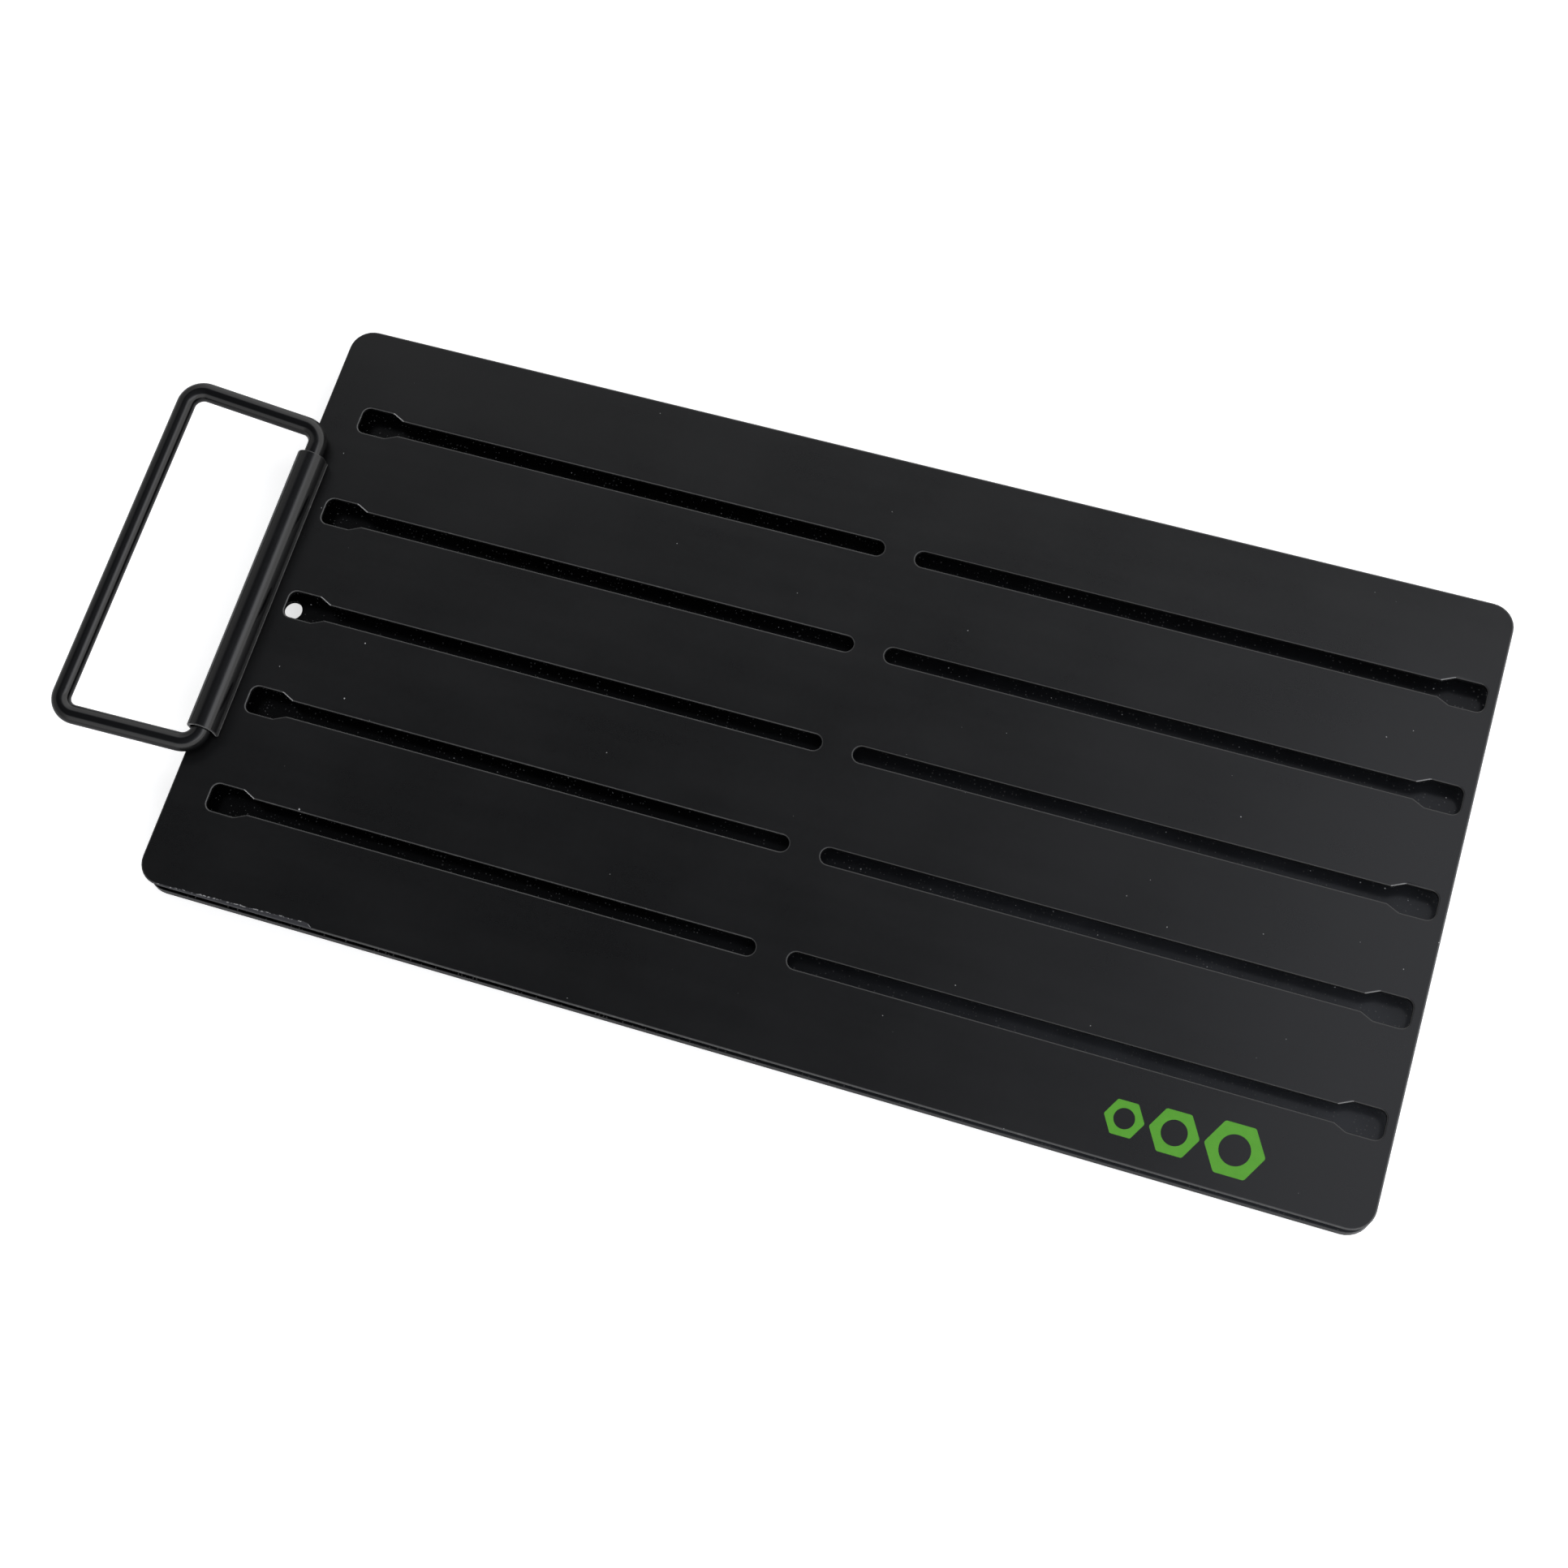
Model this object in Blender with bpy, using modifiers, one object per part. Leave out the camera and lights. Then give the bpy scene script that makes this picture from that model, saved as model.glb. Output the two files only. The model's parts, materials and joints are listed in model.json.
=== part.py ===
"""Slotted socket rail tray with a swinging wire handle, in metres, +Z up.

Two pressed steel pans lie one above the other. The upper one, the deck, has five rows of
keyhole slots. Spacer bars between the rows hold the pans apart, so each row has a channel
below it for the feet of sliding clips. A hinge bracket, curled from sheet, comes out
between the pans at the left edge and holds a bent wire handle. Origin: centre of the
whole object's footprint, on the surface that the rubber feet stand on.
"""

import math

import bmesh
import bpy
from mathutils import Vector

# Pans
PLATE_LENGTH = 0.400
PLATE_WIDTH = 0.2068
CORNER_RADIUS = 0.008
SHEET = 0.0015
DECK_RIM_DEPTH = 0.0034
BASE_DEPTH = 0.0038
BASE_INSET = 0.0003
DECK_ABOVE_BASE = 0.0068
EDGE_RADIUS = 0.0006

# Keyhole slots
ROW_COUNT = 5
ROW_PITCH = 0.0352
SLOT_MARGIN = 0.0131
SLOT_LENGTH = 0.187
SLOT_BRIDGE = 0.0098
NARROW_WIDTH = 0.0055
WIDE_WIDTH = 0.0094
WIDE_LENGTH = 0.011
TAPER_LENGTH = 0.004
WIDE_CORNER_RADIUS = 0.0021
SLOT_FLARE = 0.0004

# Inner and lower pieces
SPACER_WIDTH = 0.012
SPACER_LENGTH = 0.382
SPACER_START = 0.0105
FOOT_RADIUS = 0.007
FOOT_CHAMFER = 0.0007
FOOT_PROUD = 0.0008
FOOT_INSET_X = 0.018
FOOT_Y = 0.0704
SCREW_RADIUS = 0.0015
SCREW_HOLE_RADIUS = 0.0018
SCREW_HEAD_RADIUS = 0.0028
SCREW_HEAD_HEIGHT = 0.0016
SCREW_BITE = 0.0035
SCREW_TIP_LENGTH = 0.0006
SCREW_TIP_RADIUS = 0.00105
RECESS_LENGTH = 0.0031
RECESS_WIDTH = 0.0006
RECESS_DEPTH = 0.0009
RECESS_ANGLES = (15, 105)
SPACER_SCREW_INSET = 0.045
HANG_HOLE_RADIUS = 0.00315
HANG_HOLE_INSET = 0.01375

# Handle and its bracket
WIRE_RADIUS = 0.00318
HINGE_INSET = 0.0041
HINGE_ABOVE_DECK = 0.0036
HANDLE_REACH = 0.0478
HANDLE_HALF_OUTER = 0.0613
HANDLE_HALF_INNER = 0.0588
HANDLE_SHIFT = 0.0021
HANDLE_BEND_RADIUS = 0.006
HANDLE_REST_TILT = math.radians(5.4)
WIRE_END_GAP = 0.001
BRACKET_SHEET = 0.0012
BRACKET_LENGTH = 0.102
BRACKET_OUTER_RADIUS = 0.0049
BRACKET_FOLD_RADIUS = 0.0014
BRACKET_TONGUE = 0.0091
BRACKET_SCREW_INSET = 0.0052
BRACKET_SCREW_PITCH = 0.040

# Clearance between touching pieces, the reach of a cutter past what it opens, and a merging distance
GAP = 0.0003
CUTTER_REACH = 0.003
WELD = 0.00001

# Facets
CORNER_STEPS = 6
WIDE_CORNER_STEPS = 4
SLOT_END_STEPS = 8
FOLD_STEPS = 4
CURL_STEPS = 14
HANDLE_BEND_STEPS = 5
SCREW_HOLE_FACETS = 16
HANG_HOLE_FACETS = 24
SCREW_FACETS = 12
FOOT_FACETS = 20
SMOOTH_ANGLE = math.radians(35)

# Base colour, roughness and metallic of each material
MATERIALS = {
    "deck_paint": ((0.012, 0.012, 0.014), 0.5, 0.0),
    "base_paint": ((0.010, 0.010, 0.011), 0.55, 0.0),
    "bracket_paint": ((0.012, 0.012, 0.013), 0.42, 0.0),
    "handle_paint": ((0.010, 0.010, 0.011), 0.35, 0.0),
    "spacer_plastic": ((0.015, 0.015, 0.016), 0.6, 0.0),
    "screw_steel": ((0.35, 0.35, 0.36), 0.35, 1.0),
    "foot_rubber": ((0.02, 0.02, 0.02), 0.8, 0.0),
}

# Outline of a screw's head, as shares of its radius and height, from its bearing face outwards
HEAD_OUTLINE = ((1.0, 0.0), (1.0, 0.45), (0.8, 0.85), (0.45, 1.0), (0.0, 1.0))

# Heights
BASE_BOTTOM = FOOT_PROUD
BASE_TOP = BASE_BOTTOM + BASE_DEPTH
BASE_UNDERSIDE = BASE_TOP - SHEET
DECK_TOP = BASE_TOP + DECK_ABOVE_BASE
DECK_UNDERSIDE = DECK_TOP - SHEET
HINGE_Z = DECK_TOP + HINGE_ABOVE_DECK

# Places along X
OVERHANG = HANDLE_REACH * math.cos(HANDLE_REST_TILT) + WIRE_RADIUS - HINGE_INSET
PLATE_LEFT = -(PLATE_LENGTH + OVERHANG) / 2 + OVERHANG
PLATE_RIGHT = PLATE_LEFT + PLATE_LENGTH
PLATE_MIDDLE = (PLATE_LEFT + PLATE_RIGHT) / 2
HINGE_X = PLATE_LEFT + HINGE_INSET
BRACKET_RADIUS = BRACKET_OUTER_RADIUS - BRACKET_SHEET / 2
ROWS = [(i - (ROW_COUNT - 1) / 2) * ROW_PITCH for i in range(ROW_COUNT)]
SPACER_ROWS = [(i - ROW_COUNT / 2) * ROW_PITCH for i in range(ROW_COUNT + 1)]


def clear_scene():
    for obj in list(bpy.data.objects):
        bpy.data.objects.remove(obj, do_unlink=True)


def new_collection(name):
    collection = bpy.data.collections.new(name)
    bpy.context.scene.collection.children.link(collection)
    return collection


def new_material(name, colour, roughness, metallic):
    material = bpy.data.materials.new(name)
    material.use_nodes = True
    shader = material.node_tree.nodes["Principled BSDF"]
    shader.inputs["Base Color"].default_value = (*colour, 1.0)
    shader.inputs["Roughness"].default_value = roughness
    shader.inputs["Metallic"].default_value = metallic
    material.diffuse_color = (*colour, 1.0)
    return material


def arc(centre, radius, start, end, steps):
    """Points on an arc from start to end, in degrees, both ends included."""
    angles = [math.radians(start + (end - start) * i / steps) for i in range(steps + 1)]
    return [(centre[0] + radius * math.cos(a), centre[1] + radius * math.sin(a)) for a in angles]


def rounded_rectangle(length, width, radius, middle_x):
    corners = ((1, 1, 0), (-1, 1, 90), (-1, -1, 180), (1, -1, 270))
    points = []
    for side_x, side_y, start in corners:
        centre = (middle_x + side_x * (length / 2 - radius), side_y * (width / 2 - radius))
        points += arc(centre, radius, start, start + 90, CORNER_STEPS)
    return points


def keyhole(outer_x, row_y, direction):
    """Outline of one slot: a wide end at outer_x, a taper, then a narrow run with a round end.

    direction is 1 where the slot runs towards +X from its wide end, and -1 where it runs back.
    """
    wide = WIDE_WIDTH / 2
    narrow = NARROW_WIDTH / 2
    corner = WIDE_CORNER_RADIUS
    start = SLOT_FLARE
    end = SLOT_LENGTH - SLOT_FLARE
    points = arc((start + corner, corner - wide), corner, 270, 180, WIDE_CORNER_STEPS)
    points += arc((start + corner, wide - corner), corner, 180, 90, WIDE_CORNER_STEPS)
    points += [(WIDE_LENGTH, wide), (WIDE_LENGTH + TAPER_LENGTH, narrow)]
    points += arc((end - narrow, 0), narrow, 90, -90, SLOT_END_STEPS)
    points += [(WIDE_LENGTH + TAPER_LENGTH, -narrow), (WIDE_LENGTH, -wide)]
    return [(outer_x + direction * x, row_y + y) for x, y in points]


def curve_object(name, collection, location=(0, 0, 0)):
    data = bpy.data.curves.new(name, "CURVE")
    obj = bpy.data.objects.new(name, data)
    obj.location = location
    collection.objects.link(obj)
    return obj


def add_spline(curve, points, cyclic):
    spline = curve.splines.new("POLY")
    spline.points.add(len(points) - 1)
    for target, point in zip(spline.points, points):
        target.co = (*Vector(point).to_3d(), 1.0)
    spline.use_cyclic_u = cyclic


def as_mesh(obj, collection):
    """Replaces an object by the welded mesh that it evaluates to."""
    bpy.context.view_layer.update()
    graph = bpy.context.evaluated_depsgraph_get()
    mesh = bpy.data.meshes.new_from_object(obj.evaluated_get(graph))
    work = bmesh.new()
    work.from_mesh(mesh)
    bmesh.ops.remove_doubles(work, verts=work.verts, dist=WELD)
    bmesh.ops.recalc_face_normals(work, faces=work.faces)
    work.to_mesh(mesh)
    work.free()
    name = obj.name
    place = obj.matrix_world.copy()
    bpy.data.objects.remove(obj, do_unlink=True)
    result = bpy.data.objects.new(name, mesh)
    result.matrix_world = place
    collection.objects.link(result)
    return result


def plate_solid(name, outlines, low, high, collection, edge=0.0, edge_steps=0, outward=False):
    """A flat solid between two heights, with its top and bottom rims rounded or chamfered by edge.

    Its sides follow the outlines, or lie outside them by edge where outward is set.
    """
    obj = curve_object(name, collection, (0, 0, (low + high) / 2))
    curve = obj.data
    curve.dimensions = "2D"
    curve.fill_mode = "BOTH"
    curve.extrude = (high - low) / 2 - edge
    curve.bevel_depth = edge
    curve.bevel_resolution = edge_steps
    curve.offset = 0.0 if outward else -edge
    for outline in outlines:
        add_spline(curve, outline, True)
    return as_mesh(obj, collection)


def mark_cutter(obj):
    obj.hide_render = True
    obj.display_type = "WIRE"
    return obj


def cut(obj, cutter):
    boolean = obj.modifiers.new("cut_" + cutter.name, "BOOLEAN")
    boolean.operation = "DIFFERENCE"
    boolean.solver = "EXACT"
    boolean.object = cutter


def finish_part(obj, material):
    obj.data.materials.clear()
    obj.data.materials.append(material)
    obj.data.shade_smooth()
    obj.data.set_sharp_from_angle(angle=SMOOTH_ANGLE)


def cylinders(name, places, radius, low, high, collection, facets):
    """One cutter that holds an upright cylinder at each (x, y) place."""
    work = bmesh.new()
    for x, y in places:
        made = bmesh.ops.create_cone(
            work, cap_ends=True, segments=facets, radius1=radius, radius2=radius, depth=high - low
        )
        bmesh.ops.translate(work, verts=made["verts"], vec=(x, y, (low + high) / 2))
    mesh = bpy.data.meshes.new(name)
    work.to_mesh(mesh)
    work.free()
    obj = bpy.data.objects.new(name, mesh)
    collection.objects.link(obj)
    return mark_cutter(obj)


def box_object(name, size, location, collection):
    work = bmesh.new()
    bmesh.ops.create_cube(work, size=1.0)
    bmesh.ops.scale(work, vec=size, verts=work.verts)
    mesh = bpy.data.meshes.new(name)
    work.to_mesh(mesh)
    work.free()
    obj = bpy.data.objects.new(name, mesh)
    obj.location = location
    collection.objects.link(obj)
    return obj


def turned_object(name, profile, facets, collection):
    """A solid of revolution about Z, from a profile of (radius, z) points that ends on the axis."""
    mesh = bpy.data.meshes.new(name)
    edges = [(i, i + 1) for i in range(len(profile) - 1)]
    mesh.from_pydata([(x, 0, z) for x, z in profile], edges, [])
    obj = bpy.data.objects.new(name, mesh)
    collection.objects.link(obj)
    turn = obj.modifiers.new("turn", "SCREW")
    turn.axis = "Z"
    turn.steps = facets
    turn.render_steps = facets
    turn.use_merge_vertices = True
    turn.merge_threshold = WELD
    return obj


def place_copies(pattern, name, places, parts):
    """Puts numbered objects that share the pattern's mesh at (x, y, z) places, and drops the pattern."""
    for index, place in enumerate(places, 1):
        copy = bpy.data.objects.new(f"{name}_{index}", pattern.data)
        copy.location = place
        parts.objects.link(copy)
    bpy.data.objects.remove(pattern, do_unlink=True)


def spacer_screw_places():
    ends = (PLATE_LEFT + SPACER_SCREW_INSET, PLATE_RIGHT - SPACER_SCREW_INSET)
    return [(x, y) for y in SPACER_ROWS for x in ends]


def bracket_screw_places():
    return [(PLATE_LEFT + BRACKET_SCREW_INSET, i * BRACKET_SCREW_PITCH) for i in (-1, 0, 1)]


def make_deck(parts, cutters, material):
    """Upper pan: flat sheet with a turned-down rim, cut by the keyhole slots."""
    outline = rounded_rectangle(PLATE_LENGTH, PLATE_WIDTH, CORNER_RADIUS, PLATE_MIDDLE)
    low = DECK_TOP - DECK_RIM_DEPTH
    deck = plate_solid("top_plate", [outline], low, DECK_TOP, parts, EDGE_RADIUS, 1)
    hollow = rounded_rectangle(
        PLATE_LENGTH - 2 * SHEET, PLATE_WIDTH - 2 * SHEET, CORNER_RADIUS - SHEET, PLATE_MIDDLE
    )
    pocket = plate_solid(
        "deck_pocket_cutter", [hollow], low - CUTTER_REACH, DECK_UNDERSIDE, cutters
    )
    right_end = PLATE_LEFT + SLOT_MARGIN + 2 * SLOT_LENGTH + SLOT_BRIDGE
    slots = [keyhole(PLATE_LEFT + SLOT_MARGIN, y, 1) for y in ROWS]
    slots += [keyhole(right_end, y, -1) for y in ROWS]
    through = plate_solid(
        "slot_cutter", slots, DECK_UNDERSIDE - CUTTER_REACH, DECK_TOP + CUTTER_REACH, cutters
    )
    mouth = plate_solid(
        "slot_mouth_cutter",
        slots,
        DECK_TOP - SLOT_FLARE,
        DECK_TOP + CUTTER_REACH,
        cutters,
        SLOT_FLARE,
        outward=True,
    )
    notch_depth = HINGE_INSET - BRACKET_RADIUS + BRACKET_SHEET / 2 + GAP
    notch = box_object(
        "bracket_notch_cutter",
        (2 * notch_depth, BRACKET_LENGTH + 2 * GAP, 2 * (DECK_RIM_DEPTH + CUTTER_REACH)),
        (PLATE_LEFT, 0, DECK_TOP),
        cutters,
    )
    for cutter in (pocket, through, mouth, notch):
        cut(deck, mark_cutter(cutter))
    finish_part(deck, material)


def make_base(parts, cutters, screw_holes, material):
    """Lower pan: the floor of the slot channels, with its rim turned down to hide the screws."""
    length = PLATE_LENGTH - 2 * BASE_INSET
    width = PLATE_WIDTH - 2 * BASE_INSET
    radius = CORNER_RADIUS - BASE_INSET
    outline = rounded_rectangle(length, width, radius, PLATE_MIDDLE)
    base = plate_solid("base_plate", [outline], BASE_BOTTOM, BASE_TOP, parts, EDGE_RADIUS, 1)
    hollow = rounded_rectangle(
        length - 2 * SHEET, width - 2 * SHEET, radius - SHEET, PLATE_MIDDLE
    )
    pocket = plate_solid(
        "base_pocket_cutter", [hollow], BASE_BOTTOM - CUTTER_REACH, BASE_UNDERSIDE, cutters
    )
    hang_hole = cylinders(
        "hang_hole_cutter",
        [(PLATE_LEFT + HANG_HOLE_INSET, 0)],
        HANG_HOLE_RADIUS,
        BASE_BOTTOM,
        BASE_TOP + CUTTER_REACH,
        cutters,
        HANG_HOLE_FACETS,
    )
    for cutter in (mark_cutter(pocket), hang_hole, screw_holes):
        cut(base, cutter)
    finish_part(base, material)


def make_spacers(parts, screw_holes, material):
    """Bars between the pans, one each side of every slot row."""
    low = BASE_TOP + GAP
    high = DECK_UNDERSIDE - GAP
    middle = PLATE_LEFT + SPACER_START + SPACER_LENGTH / 2
    for index, y in enumerate(SPACER_ROWS, 1):
        spacer = box_object(
            f"spacer_bar_{index}",
            (SPACER_LENGTH, SPACER_WIDTH, high - low),
            (middle, y, (low + high) / 2),
            parts,
        )
        cut(spacer, screw_holes)
        finish_part(spacer, material)


def screw_pattern(name, shank, cutters):
    """A pan-head screw, head down, with its bearing face at z = 0 and a cross recess."""
    profile = [
        (0, shank),
        (SCREW_TIP_RADIUS, shank),
        (SCREW_RADIUS, shank - SCREW_TIP_LENGTH),
        (SCREW_RADIUS, 0),
    ]
    profile += [(SCREW_HEAD_RADIUS * x, -SCREW_HEAD_HEIGHT * z) for x, z in HEAD_OUTLINE]
    screw = turned_object(name, profile, SCREW_FACETS, cutters)
    size = (RECESS_LENGTH, RECESS_WIDTH, 2 * RECESS_DEPTH)
    for angle in RECESS_ANGLES:
        slot = box_object(
            f"{name}_recess_{angle}", size, (0, 0, -SCREW_HEAD_HEIGHT), cutters
        )
        slot.rotation_euler.z = math.radians(angle)
        cut(screw, mark_cutter(slot))
    return as_mesh(screw, cutters)


def make_screws(parts, cutters, material):
    bearing = BASE_UNDERSIDE - GAP
    shank_in_spacer = BASE_TOP + GAP + SCREW_BITE - bearing
    shank_in_tongue = BASE_TOP + GAP + BRACKET_SHEET + SCREW_RADIUS / 2 - bearing
    groups = (
        ("spacer_screw", spacer_screw_places(), shank_in_spacer),
        ("bracket_screw", bracket_screw_places(), shank_in_tongue),
    )
    for name, places, shank in groups:
        pattern = screw_pattern(name + "_pattern", shank, cutters)
        finish_part(pattern, material)
        place_copies(pattern, name, [(x, y, bearing) for x, y in places], parts)


def make_feet(parts, cutters, material):
    """Rubber pads in the base's hollow, just proud of its rim."""
    high = BASE_UNDERSIDE - GAP
    profile = [
        (0, high),
        (FOOT_RADIUS, high),
        (FOOT_RADIUS, FOOT_CHAMFER),
        (FOOT_RADIUS - FOOT_CHAMFER, 0),
        (0, 0),
    ]
    pattern = as_mesh(turned_object("foot_pattern", profile, FOOT_FACETS, cutters), cutters)
    finish_part(pattern, material)
    outer = (PLATE_LEFT + FOOT_INSET_X, PLATE_RIGHT - FOOT_INSET_X)
    places = [(x, side * FOOT_Y, 0) for x in outer for side in (-1, 1)]
    place_copies(pattern, "rubber_foot", places, parts)


def bracket_profile():
    """Centre line of the bracket's sheet in the XZ plane, from its tongue to its curled edge."""
    tongue_z = BASE_TOP + GAP + BRACKET_SHEET / 2
    leg_x = HINGE_X - BRACKET_RADIUS
    fold = BRACKET_FOLD_RADIUS
    points = [(PLATE_LEFT + BRACKET_TONGUE, tongue_z)]
    points += arc((leg_x + fold, tongue_z + fold), fold, 270, 180, FOLD_STEPS)
    points += arc((HINGE_X, HINGE_Z), BRACKET_RADIUS, 180, 0, CURL_STEPS)
    points += [(HINGE_X + BRACKET_RADIUS, DECK_TOP + GAP)]
    return points


def make_bracket(parts, screw_holes, material):
    """Sheet tongue between the pans that folds up and curls over the handle's wire."""
    profile = bracket_profile()
    half = BRACKET_LENGTH / 2
    work = bmesh.new()
    verts = [work.verts.new((x, -half, z)) for x, z in profile]
    line = [work.edges.new(pair) for pair in zip(verts, verts[1:])]
    swept = bmesh.ops.extrude_edge_only(work, edges=line)["geom"]
    moved = [item for item in swept if isinstance(item, bmesh.types.BMVert)]
    bmesh.ops.translate(work, verts=moved, vec=(0, BRACKET_LENGTH, 0))
    mesh = bpy.data.meshes.new("handle_bracket")
    work.to_mesh(mesh)
    work.free()
    bracket = bpy.data.objects.new("handle_bracket", mesh)
    parts.objects.link(bracket)
    solid = bracket.modifiers.new("sheet", "SOLIDIFY")
    solid.thickness = BRACKET_SHEET
    solid.offset = 0
    solid.use_even_offset = True
    cut(bracket, screw_holes)
    finish_part(bracket, material)


def rounded_path(corners, radius, steps):
    """Open path through the corners, with each inner corner replaced by an arc."""
    path = [Vector(corners[0])]
    for before, corner, after in zip(corners, corners[1:], corners[2:]):
        corner = Vector(corner)
        back = (Vector(before) - corner).normalized()
        ahead = (Vector(after) - corner).normalized()
        half_angle = back.angle(ahead) / 2
        centre = corner + (back + ahead).normalized() * radius / math.sin(half_angle)
        reach = radius / math.tan(half_angle)
        first = (corner + back * reach - centre).normalized()
        last = (corner + ahead * reach - centre).normalized()
        path += [centre + first.slerp(last, i / steps) * radius for i in range(steps + 1)]
    return path + [Vector(corners[-1])]


def make_handle(parts, material):
    """Bent wire loop, with its ends meeting inside the bracket's curl."""
    hinge = bpy.data.objects.new("handle_hinge_axis", None)
    hinge.location = (HINGE_X, 0, HINGE_Z)
    hinge.rotation_euler.y = HANDLE_REST_TILT
    parts.objects.link(hinge)
    handle = curve_object("wire_handle", parts)
    handle.parent = hinge
    curve = handle.data
    curve.dimensions = "3D"
    curve.bevel_depth = WIRE_RADIUS
    curve.bevel_resolution = 2
    curve.use_fill_caps = True
    end = WIRE_END_GAP / 2
    corners = [
        (0, end),
        (0, HANDLE_HALF_INNER),
        (-HANDLE_REACH, HANDLE_HALF_OUTER),
        (-HANDLE_REACH, -HANDLE_HALF_OUTER),
        (0, -HANDLE_HALF_INNER),
        (0, -end),
    ]
    shifted = [(x, y + HANDLE_SHIFT, 0) for x, y in corners]
    path = rounded_path(shifted, HANDLE_BEND_RADIUS, HANDLE_BEND_STEPS)
    add_spline(curve, path, False)
    curve.materials.append(material)


def main():
    clear_scene()
    parts = new_collection("socket_rail_tray")
    cutters = new_collection("cutters")
    paint = {name: new_material(name, *values) for name, values in MATERIALS.items()}
    screw_holes = cylinders(
        "screw_hole_cutter",
        spacer_screw_places() + bracket_screw_places(),
        SCREW_HOLE_RADIUS,
        BASE_BOTTOM,
        BASE_TOP + SCREW_BITE + 2 * GAP,
        cutters,
        SCREW_HOLE_FACETS,
    )
    make_deck(parts, cutters, paint["deck_paint"])
    make_base(parts, cutters, screw_holes, paint["base_paint"])
    make_spacers(parts, screw_holes, paint["spacer_plastic"])
    make_bracket(parts, screw_holes, paint["bracket_paint"])
    make_handle(parts, paint["handle_paint"])
    make_screws(parts, cutters, paint["screw_steel"])
    make_feet(parts, cutters, paint["foot_rubber"])


main()
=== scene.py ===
"""Looks of the slotted socket rail tray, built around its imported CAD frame, in metres."""

import json
import math

import bmesh
import bpy
from mathutils import Matrix, Vector
from mathutils.geometry import tessellate_polygon


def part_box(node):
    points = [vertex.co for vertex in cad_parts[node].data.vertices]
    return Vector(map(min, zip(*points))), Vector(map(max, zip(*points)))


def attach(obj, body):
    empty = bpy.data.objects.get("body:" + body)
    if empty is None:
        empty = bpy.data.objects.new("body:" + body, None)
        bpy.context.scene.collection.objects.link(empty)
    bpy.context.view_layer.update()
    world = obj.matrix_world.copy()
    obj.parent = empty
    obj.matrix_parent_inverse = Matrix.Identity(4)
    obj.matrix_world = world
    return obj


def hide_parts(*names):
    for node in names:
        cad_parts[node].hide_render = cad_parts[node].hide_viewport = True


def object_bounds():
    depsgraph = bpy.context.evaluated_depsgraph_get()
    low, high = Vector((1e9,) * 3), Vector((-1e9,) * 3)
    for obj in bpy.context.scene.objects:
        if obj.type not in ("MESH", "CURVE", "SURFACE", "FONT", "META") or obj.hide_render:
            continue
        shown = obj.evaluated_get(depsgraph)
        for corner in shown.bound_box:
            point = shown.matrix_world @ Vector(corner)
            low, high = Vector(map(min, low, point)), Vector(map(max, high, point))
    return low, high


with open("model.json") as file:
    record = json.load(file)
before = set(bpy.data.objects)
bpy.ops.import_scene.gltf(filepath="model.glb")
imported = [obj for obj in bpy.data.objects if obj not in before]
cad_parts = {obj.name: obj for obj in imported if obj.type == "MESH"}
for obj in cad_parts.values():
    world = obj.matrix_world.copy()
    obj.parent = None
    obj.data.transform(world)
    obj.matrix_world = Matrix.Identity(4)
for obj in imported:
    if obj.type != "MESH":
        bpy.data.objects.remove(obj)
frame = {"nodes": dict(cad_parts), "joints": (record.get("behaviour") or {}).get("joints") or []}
cad_low, cad_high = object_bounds()

# Places read from the frame
DECK_LOW, DECK_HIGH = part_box("top_plate")
BASE_LOW, BASE_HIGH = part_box("base_plate")
HINGE = Vector(frame["joints"][0]["pos_m"])
DECK_TOP = DECK_HIGH.z

# Pans
SHEET = 0.0015
CORNER_RADIUS = 0.008
DECK_FILLET = 0.0006
RIM_TUCK = 0.0006
BASE_FLARE = 0.0003
BASE_TOP_FILLET = 0.00015
BASE_FOOT_FILLET = 0.0006
SLOT_FILLET = 0.0005
CUT_EDGE = 0.0002
INNER_FILLET = 0.0005
NOTCH_DEPTH = 0.0007
NOTCH_SIDE = 0.00005
# Flat strip beside each rounding, and the shortest straight that has room for one
LAND = 0.0002
LEAST_ROOM = LAND * 1.01

# Keyhole slots
ROW_COUNT = 5
ROW_PITCH = 0.0352
SLOT_MARGIN = 0.0131
SLOT_LENGTH = 0.187
SLOT_BRIDGE = 0.0098
SLOT_FLARE = 0.0004
NARROW_WIDTH = 0.0055
WIDE_WIDTH = 0.0094
WIDE_LENGTH = 0.011
TAPER_LENGTH = 0.004
TAPER_RADIUS = 0.0014
WIDE_CORNER_RADIUS = 0.0026

# Smaller openings and pieces
HANG_HOLE_RADIUS = 0.00315
HANG_HOLE_INSET = 0.01375
SCREW_HOLE_RADIUS = 0.0018
SPACER_CORNER_RADIUS = 0.0006
SPACER_HOLE_TOP = 0.0009
BRACKET_SHEET = 0.0012
BRACKET_OUTER_RADIUS = 0.0049
BRACKET_FOLD_RADIUS = 0.0014
BRACKET_TONGUE = 0.0091
BRACKET_END_ROUND = 0.00025
BRACKET_END_INSET = 0.0003
# Rounding of the sheet's long edges, as a share of half its thickness
BRACKET_SHEET_ROUND = 0.45
TOE = 0.00045
WIRE_RADIUS = 0.00318
HANDLE_HALF_INNER = 0.0588
HANDLE_BEND_RADIUS = 0.006
WIRE_END_GAP = 0.001
SCREW_RADIUS = 0.0015
SCREW_TIP_ROUND = 0.0005
# Rounding of the screw's head, as a share of its height
HEAD_ROUND = 0.62
SHARP_ANGLE = math.radians(40)
FOOT_TOP_ROUND = 0.0002
FOOT_TREAD_ROUND = 0.0007
FOOT_DISH_ROUND = 0.0006
FOOT_DISH_DEPTH = 0.0004
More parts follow.
